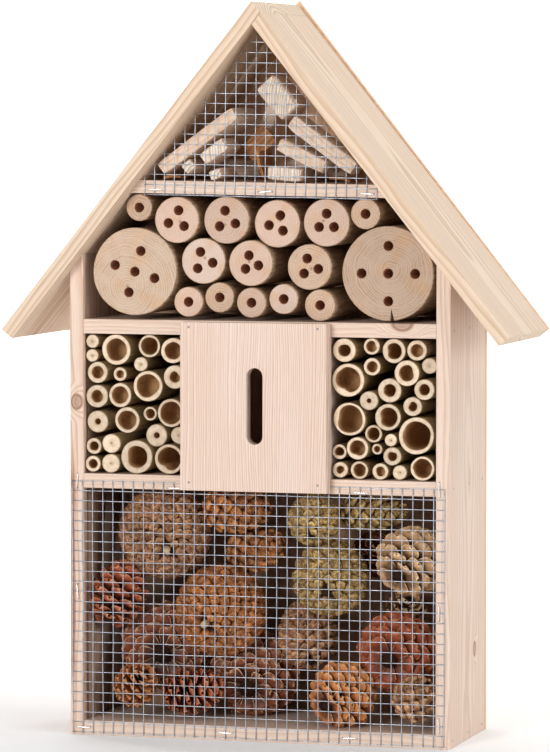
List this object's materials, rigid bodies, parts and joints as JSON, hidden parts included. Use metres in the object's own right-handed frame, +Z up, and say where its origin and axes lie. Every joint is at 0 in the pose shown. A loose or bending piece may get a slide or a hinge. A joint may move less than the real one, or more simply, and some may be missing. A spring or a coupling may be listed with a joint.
{
  "type": "insect hotel",
  "caption": "Gabled timber insect hotel with drilled logs, reed bundles, a slotted butterfly chamber, and cones and offcuts behind wire mesh.",
  "frame": {"origin": "under the middle of the whole model, on the surface that it stands on", "axes": "+Z up, the open front faces -Y, +X is to the viewer's right"},
  "size_m": [0.327, 0.11, 0.462],
  "materials": {
    "pine_board": "sanded",
    "roof_board": "sanded",
    "back_board": "sanded",
    "front_board": "sanded",
    "branch_wood": "sawn",
    "reed": "natural",
    "offcut_wood": "sawn",
    "bark": "natural",
    "cone_tan": "natural",
    "cone_orange": "natural",
    "cone_dark": "natural",
    "mesh_wire": "galvanised",
    "staple_wire": "bright",
    "nail_steel": "dull",
    "zinc_plate": "zinc plated"
  },
  "bodies": {
    "root": {"left_side_panel": "pine_board", "right_side_panel": "pine_board", "bottom_board": "pine_board", "lower_shelf": "pine_board", "middle_shelf": "pine_board", "attic_floor": "pine_board", "divider_left": "pine_board", "divider_right": "pine_board", "roof_board_left": "roof_board", "roof_board_right": "roof_board", "back_panel": "back_board", "butterfly_panel": "front_board", "hanger_plate": "zinc_plate", "hanger_screws": "zinc_plate", "nails": "nail_steel", "attic_mesh": "mesh_wire", "lower_mesh": "mesh_wire", "staples": "staple_wire", "large_log_1": "branch_wood", "large_log_2": "branch_wood", "medium_log_1": "branch_wood", "small_log_1": "branch_wood", "medium_log_2": "branch_wood", "small_log_2": "branch_wood", "medium_log_3": "branch_wood", "small_log_3": "branch_wood", "medium_log_4": "branch_wood", "small_log_4": "branch_wood", "medium_log_5": "branch_wood", "small_log_5": "branch_wood", "medium_log_6": "branch_wood", "small_log_6": "branch_wood", "medium_log_7": "branch_wood", "small_log_7": "branch_wood", "left_reeds": "reed", "right_reeds": "reed", "attic_plank_left": "offcut_wood", "attic_plank_right": "offcut_wood", "attic_plank_low": "offcut_wood", "attic_blocks": "offcut_wood", "attic_bark": "bark", "cone_1": "cone_tan", "cone_2": "cone_dark", "cone_3": "cone_orange", "cone_4": "cone_orange", "cone_5": "cone_orange", "cone_6": "cone_dark", "cone_7": "cone_dark", "cone_8": "cone_orange", "cone_9": "cone_tan", "cone_10": "cone_tan", "cone_11": "cone_dark", "cone_12": "cone_dark", "cone_13": "cone_tan", "cone_14": "cone_tan", "cone_15": "cone_orange", "cone_16": "cone_orange", "cone_17": "cone_tan", "cone_18": "cone_orange", "cone_19": "cone_tan"}
  },
  "joints": []
}
